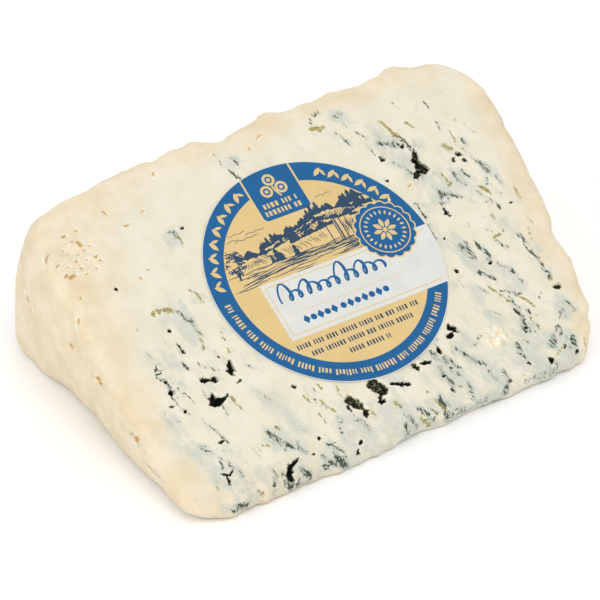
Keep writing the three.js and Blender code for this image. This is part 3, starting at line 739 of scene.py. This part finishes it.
def cheese_finish():
    """Moist cream paste: tan and dry by the rind, clouded and streaked blue-grey, near black and olive in
    the eyes, ochre in the dry pits; light goes a little way in.  It also holds painted light: painted shade
    in tan along the nose's left half, painted highlights as pale rings round the lips of pits and eyes, and
    painted highlight and shade on the torn flake."""
    material, start, shader = finish(
        "cheese_paste",
        Subsurface_Weight=0.25,
        Subsurface_Scale=1.4 * MM,
        Subsurface_Radius=(1.0, 0.7, 0.45),
        Specular_IOR_Level=0.35,
    )
    blue, olive, dark, ochre, rind_tan_and_nose_shade, cloud, torn, moss = (start.attribute(name) for name in MARKS)
    plain = start.place()
    on_slope = start.place((SECTOR, 0, 0))
    down_slope = start.lean(on_slope, (0, 0, STREAK_LEAN), (1, 2.8, 1))
    half_down = start.lean(on_slope, (0, 0, STREAK_LEAN), (1, 1.7, 1))
    mottle = start.noise(plain, 6.0, 4.0, 0.55).rise(0.3, 0.7)
    fine = start.noise(plain, 0.5, 3.0, 0.6)
    speck = start.noise(plain, 0.9, 4.0, 0.7)
    strand = start.noise(down_slope, 0.8, 5.0, 0.66)
    drift = start.noise(half_down, 1.7, 5.0, 0.68)
    line = abs(start.noise(down_slope, 1.1, 2.0, 0.5) - 0.5)
    # Tan by the rind; along the nose's left half the same tan is painted shade.
    colour = start.mix(rind_tan_and_nose_shade, start.mix(mottle, *CREAM), start.mix(mottle, *TAN))
    # Blue: a pale haze first, then smudges, then dark threads along the level lines of a stretched noise.
    mould = (cloud + blue).rise(0.02, 0.22)
    haze = (0.95 * cloud + 0.8 * blue + 2.8 * (drift - 0.5)).rise(0.2, 1.25) * mould
    colour = start.mix(haze * 0.62, colour, HAZE)
    smudge = 0.3 * cloud + 0.9 * blue + 2.2 * (strand - 0.5) + 0.5 * (fine - 0.5)
    colour = start.mix(smudge.rise(0.56, 1.15) * mould * 0.6, colour, SMUDGE)
    thread = 0.14 * cloud + 1.05 * blue + 0.8 * (speck - 0.5) - 8.0 * line
    colour = start.mix(thread.rise(0.40, 0.62) * mould * 0.92, colour, THREAD)
    green = (1.05 * olive + 1.2 * (speck - 0.5) - 3.0 * line).rise(0.36, 0.66) * olive.rise(0.05, 0.25)
    colour = start.mix(green * 0.85, colour, start.mix(fine.rise(0.4, 0.6), *OLIVE_MOULD))
    # Dry pits: a painted highlight as a pale ring round the lip, round an ochre inside.
    painted_pit_highlight = ochre.rise(0.02, 0.15) * (1 - ochre.rise(0.2, 0.5))
    colour = start.mix(painted_pit_highlight * 0.6, colour, PAINTED_PIT_HIGHLIGHT)
    ripe = (ochre + 0.5 * (fine - 0.5)).rise(0.4, 0.75)
    colour = start.mix(ripe * 0.9, colour, DRY_PIT)
    # Eyes: a painted highlight as a pale ring just round the lip, a mouldy rim, and the dark inside with
    # moss on its walls.
    painted_eye_highlight = dark.rise(0.01, 0.1) * (1 - dark.rise(0.16, 0.4))
    colour = start.mix(painted_eye_highlight * 0.45, colour, PAINTED_EYE_HIGHLIGHT)
    rim = (dark + 1.1 * (speck - 0.5)).rise(0.3, 0.5) * dark.rise(0.05, 0.3)
    colour = start.mix(rim * 0.6, colour, start.mix(speck.rise(0.45, 0.6), *EYE_RIM))
    core = (dark + 0.3 * (speck - 0.5)).rise(0.5, 0.6)
    wall = moss * (strand + 0.4 * (speck - 0.5)).rise(0.49, 0.55)
    inside = start.mix(speck.rise(0.52, 0.62), *EYE_INSIDE)
    inside = start.mix(wall, inside, start.mix(fine.rise(0.42, 0.62), *MOSS))
    inside = start.mix(moss * (0.022 - line).rise(0.0, 0.014), inside, MOSS_THREAD)
    colour = start.mix(core, colour, inside)
    # The torn flake and the crumbly patch: pale cream as painted highlight and tan as painted shade, mixed
    # by noise into petals.
    colour = start.mix(torn * 0.8, colour, start.mix(speck.rise(0.4, 0.56), *FLAKE_HIGHLIGHT_AND_SHADE))
    links = material.node_tree.links
    links.new(colour.socket, shader.inputs["Base Color"])
    rough = 0.40 + 0.2 * rind_tan_and_nose_shade + 0.2 * (fine - 0.5) + 0.3 * core
    links.new(rough.socket, shader.inputs["Roughness"])
    pores = start.noise(plain, 0.9, 4.0, 0.65)
    bump = start.node("Bump", {}, {"Strength": 0.4, "Distance": 0.25 * MM, "Height": pores})
    links.new(bump.socket, shader.inputs["Normal"])
    return material


wedge = cheese()
wedge.data.materials.append(cheese_finish())
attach(wedge, "root")
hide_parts("cheese_wedge")

# ------------------------------------------------------------------------------------------------- label
# The label: a disc of satin paper stuck on the sloping face, printed in blue, gold and navy: a ring with a
# chain of leaves, an engraved landscape, an emblem, a rosette seal and a white band like a ticket.  Printed
# matter that would be words is ornament here.  Lengths are millimetres from the label's centre.
PAPER_THICKNESS = 0.12
RING_OUTSIDE, RING_INSIDE = 26.85, 22.3
PAPER, BLUE, GOLD, NAVY = range(4)
INKS = [
    ("label_white", (214, 214, 208)), ("label_blue", (8, 90, 144)),
    ("label_gold", (216, 188, 130)), ("label_navy", (36, 66, 92)),
]
LABEL_SEED = 5
art = []  # (outline, ink, radius that it stops at), lowest first
draw = np.random.default_rng(LABEL_SEED)


def ink(colour, outline, stop=LABEL_RADIUS):
    """Prints the area inside an outline."""
    art.append((np.asarray(outline, float), colour, stop))


def disc(x, y, radius, steps=24, scallop=0.0, lobes=1):
    """Points round a circle; a scalloped one's radius is r + scallop * |sin(lobes * turn / 2)|."""
    turn = np.arange(steps) / steps * 2 * math.pi
    reach = radius + scallop * np.abs(np.sin(lobes * turn / 2))
    return np.stack([x + reach * np.cos(turn), y + reach * np.sin(turn)], -1)


def block(left, low, right, high):
    """The corners of an upright rectangle."""
    return [(left, low), (right, low), (right, high), (left, high)]


def stroke(colour, line, width, stop=LABEL_RADIUS):
    """A pen stroke along a line as one small four-sided piece a step, as wide as `width` at each point."""
    line = np.asarray(line, float)
    along = np.gradient(line, axis=0)
    side = np.stack([-along[:, 1], along[:, 0]], -1) / np.linalg.norm(along, axis=1, keepdims=True)
    half = np.broadcast_to(width, len(line))[:, None] * side / 2
    low, high = line - half, line + half
    for k in range(len(line) - 1):
        ink(colour, [low[k], low[k + 1], high[k + 1], high[k]], stop)


def leaf(colour, x, y, length, width, turn):
    """A pointed leaf: half width = width / 2 * sin(pi t) at t from tip to tip."""
    share = np.linspace(0, 1, 7)
    half = width / 2 * np.sin(math.pi * share)
    long = (share - 0.5) * length
    outline = np.concatenate([np.stack([long, half], -1), np.stack([long, -half], -1)[-2:0:-1]])
    spin = np.array([[math.cos(turn), math.sin(turn)], [-math.sin(turn), math.cos(turn)]])
    ink(colour, outline @ spin + (x, y))


def words(colour, left, right, low, high, letter, gap):
    """A row of small upright bars in groups, as fine print looks from far off."""
    at = left
    group = 0
    while at < right - letter:
        wide = letter * draw.uniform(0.7, 1.35)
        ink(colour, block(at, low, min(right, at + wide), high))
        group += 1
        at += wide + gap
        if draw.random() < 0.16 * group - 0.3:
            at += 1.6 * gap
            group = 0


CHAIN_RADIUS = 24.5
CHAINS = [(170, 113, 8), (64, 27, 6)]  # where a chain of leaves starts and ends in degrees, and its leaves
RING_PRINT = math.radians(179), math.radians(326)
RING_PRINT_FOOT, RING_PRINT_TOPS = 24.0, (25.4, 25.4, 25.1)
BOX_LEFT, BOX_RIGHT, BOX_LOW, BOX_CORNER = -6.4, 5.4, 15.0, 1.0
BOX_EDGE = 0.45


def ring_and_box():
    """The blue ring with its leaf chain and fine print, and the emblem's box let into it."""
    ink(BLUE, disc(0, 0, RING_OUTSIDE, 120))
    ink(GOLD, disc(0, 0, RING_INSIDE, 108))
    for start, end, count in CHAINS:
        for turn in np.radians(np.linspace(start, end, count)):
            x, y = CHAIN_RADIUS * math.cos(turn), CHAIN_RADIUS * math.sin(turn)
            leaf(GOLD, x, y, 2.7, 1.1, turn - 0.5)
            leaf(GOLD, x + 1.25 * math.sin(turn), y - 1.25 * math.cos(turn), 2.1, 0.7, turn + 0.7)
    turn, last = RING_PRINT
    group = 0
    while turn < last:
        wide = math.radians(draw.uniform(0.55, 1.15))
        top = draw.choice(RING_PRINT_TOPS)
        bar = [(RING_PRINT_FOOT, turn), (top, turn), (top, turn + wide), (RING_PRINT_FOOT, turn + wide)]
        ink(GOLD, [(r * math.cos(a), r * math.sin(a)) for r, a in bar])
        group += 1
        turn += wide + math.radians(0.8)
        if draw.random() < 0.14 * group - 0.35:
            turn += math.radians(1.5)
            group = 0
    bend = np.linspace(0, math.pi / 2, 5)
    corner = [(BOX_CORNER * (1 - math.cos(a)), BOX_CORNER * (1 - math.sin(a))) for a in bend]
    for grow, colour in ((BOX_EDGE, GOLD), (0.0, BLUE)):
        left, right = BOX_LEFT - grow, BOX_RIGHT + grow
        outline = [(left + a, BOX_LOW + b) for a, b in corner]
        outline += [(right - a, BOX_LOW + b) for a, b in corner[::-1]]
        outline += [(x, math.sqrt(RING_OUTSIDE**2 - x**2)) for x in (right, left)]
        ink(colour, outline, RING_OUTSIDE)
    # The emblem: a clover of three leaves on a stem over two rows of print.
    for x, y in ((-2.35, 21.6), (1.35, 21.6), (-0.5, 24.1)):
        ink(GOLD, disc(x, y, 1.45, 20))
        ink(BLUE, disc(x, y, 0.85, 16))
        ink(GOLD, disc(x, y, 0.45, 12))
    fall = np.linspace(0, 1, 9)
    stroke(GOLD, np.stack([-0.5 + 0.9 * fall**2, 22.6 - 2.9 * fall], -1), 0.45)
    words(GOLD, -5.0, 4.0, 17.8, 19.0, 0.55, 0.4)
    words(GOLD, -5.4, 4.4, 16.0, 17.2, 0.55, 0.4)


CLEFTS = [(5.45, 5.7), (7.5, 7.75), (7.95, 8.35), (9.1, 9.4), (10.6, 10.8)]  # left and right of each
FIRS = [  # foot of the trunk, and height
    (-8.2, 5.6, 3.4), (-7.3, 5.5, 2.2), (-3.7, 5.4, 2.9), (-9.6, 5.7, 2.1), (4.4, 13.0, 2.6),
    (6.0, 13.6, 2.3), (3.2, 12.6, 2.2), (14.4, 12.6, 3.4), (15.7, 12.2, 3.0), (12.2, 12.8, 2.4),
    (-8.6, 9.8, 2.2), (-7.2, 10.1, 2.4), (-6.2, 10.3, 1.9), (13.2, 12.9, 2.6), (17.0, 11.4, 2.2),
]
# A fir's side from the foot to the tip: half width and height, as shares of the fir's height.
FIR_TIERS = [(0.36, 0.0), (0.16, 0.33), (0.28, 0.33), (0.1, 0.66), (0.2, 0.66), (0.0, 1.0)]
SKY_CLOUDS = [  # left, right and height
    (-19, -14.4, 13.4), (-17.6, -12, 14.6), (-15.4, -9.6, 12.9), (-12.4, -7.4, 13.8), (7, 11, 16.4),
]
CROWN_AT, CROWN_RADIUS, CLUMPS = (-18.3, 8.6), 3.1, 64
FURROWS = 64


def landscape():
    """Wooded hills, a rock face, firs, a broad tree and ploughed land, as an engraver would cut them."""
    stop = RING_INSIDE - 0.15

    def woods(left, right, base, thick, spike, step=0.42):
        """A band of trees along base(x), its crest waving by thick and spiked by up to spike."""
        x = np.arange(left, right + step, step)
        crest = base(x) + thick * (0.6 + 0.4 * np.sin(x * 1.7)) + spike * draw.uniform(0, 1, len(x))
        foot = base(x) - 0.25 * thick * draw.uniform(0, 1, len(x))
        ink(NAVY, np.concatenate([np.stack([x, crest], -1), np.stack([x, foot], -1)[::-1]]), stop)

    def hatch(left, right, low, high, lean, step, width=0.16):
        """Upright strokes a step apart, of uneven length, leaning and waving a little."""
        share = np.linspace(0, 1, 4)
        for x in np.arange(left, right, step):
            x = x + draw.uniform(-0.2, 0.2) * step
            bottom = low + draw.uniform(0, 0.5) * (high - low)
            top = high - draw.uniform(0, 0.3) * (high - low)
            bowed = x + lean * share + 0.15 * np.sin(6 * share)
            curve = np.stack([bowed, bottom + (top - bottom) * share], -1)
            stroke(NAVY, curve, width * np.array([0.4, 1, 1, 0.4]), stop)

    woods(-17.6, -10.2, lambda x: 8.5 + 0.05 * (-12 - x), 1.7, 0.5)
    woods(-11.2, 4.0, lambda x: 9.6 + 0.2 * (x + 9), 1.1, 0.9)
    woods(-10.4, 2.0, lambda x: 8.6 + 0.17 * (x + 9), 0.5, 0.4)
    woods(-4.0, 7.4, lambda x: 8.9 + 0.1 * x, 1.0, 0.9)
    woods(-6.0, 6.8, lambda x: 10.6 + 0.16 * x, 0.5, 0.5)
    woods(2.0, 18.6, lambda x: 12.1 + 0.9 * np.sin((x - 1) * 0.28), 1.2, 1.1)
    woods(3.0, 15.5, lambda x: 10.8 + 0.5 * np.sin((x - 1) * 0.5), 0.8, 0.7)
    woods(10.5, 17.8, lambda x: 11.4 + 0.12 * x, 1.4, 1.2)
    woods(12.0, 18.0, lambda x: 9.8 + 0 * x, 0.9, 0.8)
    hatch(-13.0, -6.0, 5.6, 8.6, -1.2, 0.5)
    hatch(-6.0, 5.0, 6.0, 8.8, -0.5, 0.62)
    hatch(9.2, 12.4, 5.2, 9.8, 0.2, 0.32, 0.2)
    hatch(-17.5, -13.0, 5.9, 7.6, 0.9, 0.5)
    hatch(-10.0, 4.0, 9.2, 11.6, -0.4, 0.6, 0.2)
    hatch(3.0, 14.0, 10.6, 12.6, 0.4, 0.5, 0.2)
    # Tall pale pillars of rock with dark clefts between them.
    for left, right in CLEFTS:
        ink(NAVY, [(left, 4.9), (right, 4.9), (right, 11.0), (left, 11.2)], stop)
    for x, y, high in FIRS:
        side = [(x + high * a, y + high * b) for a, b in FIR_TIERS]
        ink(NAVY, side + [(x - high * a, y + high * b) for a, b in FIR_TIERS[-2::-1]], stop)
    # The broad tree at the left: leaf clumps as short arcs, thickest round the crown, over a forked trunk.
    bend = np.linspace(0, math.pi, 5)
    for _ in range(CLUMPS):
        angle, reach = draw.uniform(0, 2 * math.pi), CROWN_RADIUS * draw.random() ** 0.35
        x, y = CROWN_AT[0] + 0.8 * reach * math.cos(angle), CROWN_AT[1] + reach * math.sin(angle)
        stroke(NAVY, np.stack([x + 0.42 * np.cos(bend), y + 0.34 * np.sin(bend)], -1), 0.24, stop)
    stroke(NAVY, [(-18.7, 4.4), (-18.6, 6.0), (-19.1, 7.6)], 0.5, stop)
    stroke(NAVY, [(-18.6, 5.8), (-17.9, 6.6), (-17.6, 7.6)], 0.3, stop)
    for row in range(FURROWS):
        y = 1.9 + 3.7 * (row / (FURROWS - 1)) ** 0.8 + draw.uniform(-0.06, 0.06)
        left = draw.uniform(-22, 12)
        x = np.linspace(left, left + draw.uniform(4, 12), 8)
        wave = 0.22 * np.sin(x * 0.55 + row) + 0.03 * (x - x[0])
        stroke(NAVY, np.stack([x, y + wave], -1), 0.2 * np.sin(np.linspace(0.4, 2.9, 8)), stop)
    for left, right, y in SKY_CLOUDS:
        x = np.linspace(left, right, 14)
        stroke(NAVY, np.stack([x, y + 0.34 * np.abs(np.sin((x - left) * 1.5))], -1), 0.13, stop)


TICKET_LEFT, TICKET_LOW, TICKET_HIGH = -16.2, -12.3, 1.8
PERFORATION, BITE = 1.28, 0.42  # from bite to bite along the ticket's left edge, and how deep each is
RULE_LEFT, RULE_LOW, RULE_HIGH, RULE = -15.1, -11.35, 0.8, 0.2  # places of the rules, and their width
RULE_END = 26.0  # the rules stop at this radius
DASH_ROW, DASH_STEP = -6.75, 0.72
# The flourish's tall loops: how far along it each is, how wide a share of it, and its height.
TALL_LOOPS = [(0.02, 0.05, 1.5), (0.26, 0.045, 1.3), (0.60, 0.05, 1.5), (0.80, 0.05, 1.0)]
LOOPS, LOOPS_FOOT = 11, -3.9
LOZENGE_ROW, LOZENGE_WIDE, LOZENGE_HIGH, DOT = -8.8, 0.85, 1.05, 0.72  # half sizes, and a dot's radius


def ticket():
    """The white band: perforated at its left, ruled in gold, with a pen flourish over a row of lozenges."""
    y = np.linspace(TICKET_LOW, TICKET_HIGH, 61)
    bite = TICKET_LEFT + BITE * np.abs(np.sin(math.pi * (y - TICKET_LOW) / PERFORATION))
    turns = np.linspace(math.asin(TICKET_HIGH / RING_OUTSIDE), math.asin(TICKET_LOW / RING_OUTSIDE), 12)
    right = [(RING_OUTSIDE * math.cos(turn), RING_OUTSIDE * math.sin(turn)) for turn in turns]
    ink(PAPER, list(zip(bite, y)) + right)
    for low in (RULE_HIGH, RULE_LOW):
        ink(GOLD, block(RULE_LEFT, low, math.sqrt(RULE_END**2 - low**2), low + RULE))
    ink(GOLD, block(RULE_LEFT, RULE_LOW, RULE_LEFT + RULE, RULE_HIGH + RULE))
    for x in np.arange(-13.4, 16.6, DASH_STEP):
        ink(GOLD, block(x, DASH_ROW, x + DASH_STEP / 2, DASH_ROW + RULE))
    # The flourish: a trochoid of loops, tall at four places, thick on the down stroke.
    t = np.linspace(0, 1, 190)
    phase = 2 * math.pi * LOOPS * t
    tall = 1.0 + sum(high * np.exp(-(((t - at) / wide) ** 2)) for at, wide, high in TALL_LOOPS)
    x = -13.2 + 25.8 * t - 0.85 * np.sin(phase)
    y = LOOPS_FOOT + tall - tall * np.cos(phase) - 0.45 * t + 0.25
    pen = 0.42 + 0.34 * np.clip(-np.sin(phase), 0, 1)
    stroke(BLUE, np.stack([x + 0.18 * (y - LOOPS_FOOT), y], -1), pen)
    y = LOZENGE_ROW
    for k, x in enumerate(np.r_[np.linspace(-10.2, -3.2, 5), np.linspace(-0.9, 10.0, 7)]):
        if k % 2:
            ink(BLUE, disc(x, y, DOT, 20))
        else:
            left, right = x - LOZENGE_WIDE, x + LOZENGE_WIDE
            ink(BLUE, [(left, y), (x, y - LOZENGE_HIGH), (right, y), (x, y + LOZENGE_HIGH)])


SEAL_AT = (17.6, 3.9)


def seal():
    """The scalloped seal: gold edge, blue ground, a gold ring, dashes and a rosette of eight petals."""
    x, y = SEAL_AT
    ink(GOLD, disc(x, y, 6.75, 108, 0.55, 18))
    ink(BLUE, disc(x, y, 6.4, 108, 0.55, 18))
    ink(GOLD, disc(x, y, 5.75, 48))
    ink(BLUE, disc(x, y, 5.5, 48))
    for count, away, length, width in ((24, 4.35, 1.1, 0.5), (8, 1.75, 2.3, 1.05)):
        for turn in np.arange(count) / count * 2 * math.pi:
            leaf(GOLD, x + away * math.cos(turn), y + away * math.sin(turn), length, width, turn)
    ink(GOLD, disc(x, y, 0.55, 12))


def fine_print():
    """Three rows of fine print under the ticket."""
    for left, right, y in ((-15.8, 15.2, -14.2), (-13.4, 12.8, -16.5), (-5.3, 5.0, -18.9)):
        words(NAVY, left, right, y - 0.55, y + 0.6, 0.36, 0.34)


def in_outline(points, outline):
    """Which points lie inside an outline: the ray to the right of each crosses it an odd number of times."""
    x, y = points.T[:, :, None]
    x0, y0 = outline.T[:, None, :]
    x1, y1 = np.roll(outline, -1, 0).T[:, None, :]
    spans = (y0 > y) != (y1 > y)
    slope = np.where(spans, (x1 - x0) / np.where(spans, y1 - y0, 1), 0)
    return (spans & (x < x0 + (y - y0) * slope)).sum(1) % 2 == 1


NET_STEP, NET_REACH = 2.0, 26.0  # spacing and radius of the net's own points between the prints


def cut_net():
    """One flat net of triangles over the label, cut along every printed edge, and the ink of each triangle,
    which is that of the last outline that holds its middle."""
    rings = [disc(0, 0, LABEL_RADIUS, 144)]
    for outline, *_ in art:
        fit = (LABEL_RADIUS - 0.12) / np.maximum(np.hypot(*outline.T), 1e-6)
        rings.append(outline * np.minimum(1, fit)[:, None])
    edges = []
    total = 0
    for ring in rings:
        edges += [[total + k, total + (k + 1) % len(ring)] for k in range(len(ring))]
        total += len(ring)
    step = np.arange(-NET_REACH, NET_REACH + 0.1, NET_STEP)
    grid = np.stack(np.meshgrid(step, step), -1).reshape(-1, 2)
    spots = np.concatenate([*rings, grid[np.hypot(*grid.T) < NET_REACH]])
    spots = [Vector(spot) for spot in spots]
    points, _, triangles, *_ = geometry.delaunay_2d_cdt(spots, edges, [], 0, 1e-4, False)
    points = np.array([tuple(point) for point in points])
    triangles = np.array(triangles)
    middle = points[triangles].mean(1)
    colour = np.zeros(len(triangles), int)
    for outline, shade, stop in art:
        low, high = outline.min(0), outline.max(0)
        near = np.where(((middle > low) & (middle < high)).all(1) & (np.hypot(*middle.T) < stop))[0]
        colour[near[in_outline(middle[near], outline)]] = shade
    used, inverse = np.unique(triangles, return_inverse=True)
    return points[used], inverse.reshape(triangles.shape), colour


def label():
    """The printed disc: the net laid on the face, curling up a little at its rim, with a paper's thickness
    and a band of small faces round its edge."""
    ring_and_box()
    landscape()
    ticket()
    seal()
    fine_print()
    points, triangles, colour = cut_net()
    reach = np.hypot(*points.T)
    flat = np.stack([points[:, 0], points[:, 1], 0 * reach], -1)
    lift = 0.14 + 0.05 * grain(flat, 9, 91) + 0.10 * (reach / LABEL_RADIUS) ** 8 * (1 + grain(flat, 6, 92))
    top = face_middle + points[:, :1] * across + points[:, 1:] * upslope + lift[:, None] * outward
    below = top - PAPER_THICKNESS * outward
    rim = np.where(reach > LABEL_RADIUS - 0.02)[0]
    rim = rim[np.argsort(np.arctan2(points[rim, 1], points[rim, 0]))]
    following = np.roll(rim, -1)
    count = len(top)
    side = np.stack([rim, rim + count, following + count, following], -1)
    faces = triangles.tolist() + (triangles[:, ::-1] + count).tolist() + side.tolist()
    mesh = bpy.data.meshes.new("label")
    mesh.from_pydata(np.concatenate([top, below]) * MM, [], faces)
    shade = np.r_[colour, 0 * colour, 0 * rim]
    mesh.polygons.foreach_set("material_index", shade.astype(np.int32))
    return placed("label", mesh)


def print_finish(name, colour):
    """Printed satin paper: the ink's colour, faintly uneven, over paper with a fine fibre."""
    material, start, shader = finish(name, Specular_IOR_Level=0.3)
    fibre = start.noise(start.place(), 0.35, 3.0, 0.6)
    uneven = start.noise(start.place(), 5.0, 2.0, 0.5)
    share = (0.5 * fibre + 0.5 * uneven).rise(0.35, 0.65)
    painted = start.mix(share, paint(*colour), paint(*(0.965 * part for part in colour)))
    links = material.node_tree.links
    links.new(painted.socket, shader.inputs["Base Color"])
    links.new((0.5 + 0.12 * fibre).socket, shader.inputs["Roughness"])
    bump = start.node("Bump", {}, {"Strength": 0.15, "Distance": 0.05 * MM, "Height": fibre})
    links.new(bump.socket, shader.inputs["Normal"])
    return material


paper_label = label()
for ink_name, ink_colour in INKS:
    paper_label.data.materials.append(print_finish(ink_name, ink_colour))
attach(paper_label, "root")
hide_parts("paper_label")

# ------------------------------------------------------------------------------------------------- stage
# The stage: a plain matt floor, three soft boxes and an even white sky, and the camera off the front left
# corner with a long lens.  Lengths are metres.
FLOOR_HALF = 4.0
LIT_POINT = Vector((0, 0, 0.02))
SOFT_BOXES = [  # name, place, width and watts
    ("key", (-0.25, -0.75, 1.1), 0.9, 6.6),
    ("fill", (-1.1, -0.1, 0.6), 1.0, 3.4),
    ("back", (0.6, 0.9, 0.9), 0.9, 2.6),
]
SKY_STRENGTH = 0.75
CAMERA_AZIMUTH = math.radians(-34.28)
CAMERA_HEIGHT_ANGLE = math.radians(34.27)
CAMERA_FIELD = math.radians(10)
LABEL_IN_VIEW = Vector((5.5, 6.26, 721.9)) * MM  # the label's centre right of, above and beyond the camera

floor_corners = [(x * FLOOR_HALF, y * FLOOR_HALF, 0) for x, y in ((-1, -1), (1, -1), (1, 1), (-1, 1))]
floor_mesh = bpy.data.meshes.new("floor")
floor_mesh.from_pydata(floor_corners, [], [(0, 1, 2, 3)])
floor = placed("floor", floor_mesh)
floor_material, _, _ = finish("pale_floor", Base_Color=(0.95, 0.95, 0.95, 1), Roughness=0.9)
floor_mesh.materials.append(floor_material)

for box_name, box_place, box_width, watts in SOFT_BOXES:
    soft_box = bpy.data.lights.new(box_name, "AREA")
    soft_box.energy = watts
    soft_box.size = box_width
    lamp = placed(box_name, soft_box)
    lamp.location = box_place
    lamp.rotation_euler = (LIT_POINT - Vector(box_place)).to_track_quat("-Z", "Y").to_euler()
world = bpy.data.worlds.new("studio")
world.use_nodes = True
sky = world.node_tree.nodes["Background"]
sky.inputs["Color"].default_value = (1, 1, 1, 1)
sky.inputs["Strength"].default_value = SKY_STRENGTH
bpy.context.scene.world = world
bpy.context.scene.view_settings.view_transform = "Standard"

camera_data = bpy.data.cameras.new("camera")
camera_data.angle = CAMERA_FIELD
camera_data.clip_start = 0.01
camera = placed("camera", camera_data)
right = Vector((math.cos(CAMERA_AZIMUTH), math.sin(CAMERA_AZIMUTH), 0))
level = Vector((-math.sin(CAMERA_AZIMUTH), math.cos(CAMERA_AZIMUTH), 0))
ahead = math.cos(CAMERA_HEIGHT_ANGLE) * level - math.sin(CAMERA_HEIGHT_ANGLE) * Vector((0, 0, 1))
up = right.cross(ahead)
turn = Matrix((right, up, -ahead)).transposed()
camera.matrix_world = turn.to_4x4()
label_centre = Vector(face_middle * MM)
camera.location = label_centre - right * LABEL_IN_VIEW.x - up * LABEL_IN_VIEW.y - ahead * LABEL_IN_VIEW.z
bpy.context.scene.camera = camera
